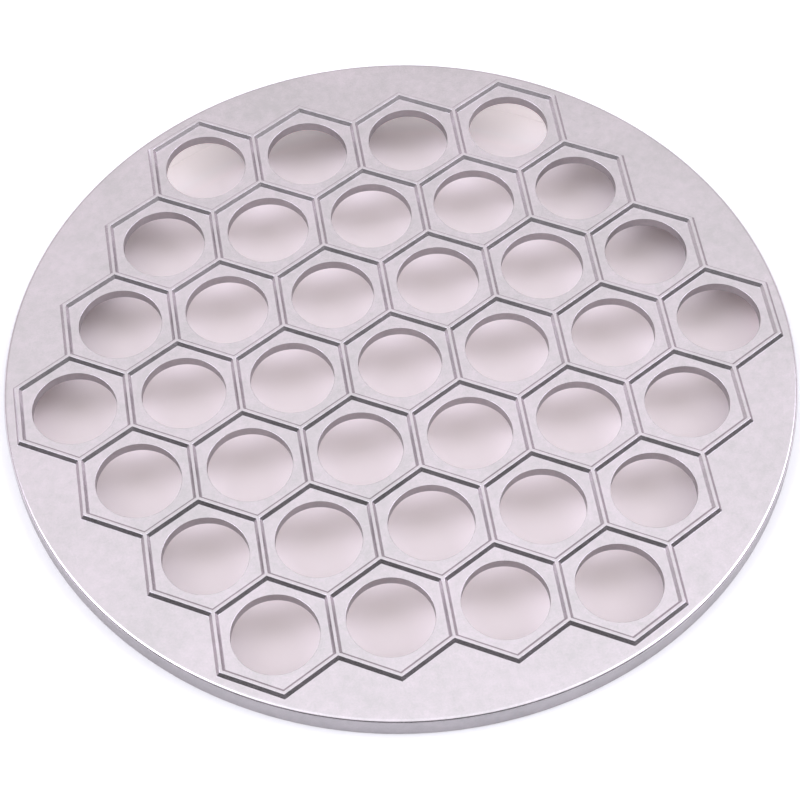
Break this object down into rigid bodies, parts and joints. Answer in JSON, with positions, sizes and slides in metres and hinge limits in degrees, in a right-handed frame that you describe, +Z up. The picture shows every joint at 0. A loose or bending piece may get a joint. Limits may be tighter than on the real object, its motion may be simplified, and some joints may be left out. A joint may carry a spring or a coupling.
{
  "type": "dumpling mold",
  "caption": "Round one-piece cast mould: honeycomb ribs cut rolled dough into hexagons, and each cell has a round hole that the filled dumpling is pushed out through.",
  "frame": {"origin": "centre of the face it rests on, the bottom of the rim", "axes": "+Z up, out of the face with the cutting ribs; +X along the rows of cells; +Y from the near row of cells to the far row"},
  "size_m": [0.26, 0.26, 0.0092],
  "materials": {
    "cast_aluminium": "fine matt casting skin, turned and polished smooth on the flange and rim"
  },
  "bodies": {
    "root": {"mould_plate": "cast_aluminium"}
  },
  "joints": []
}
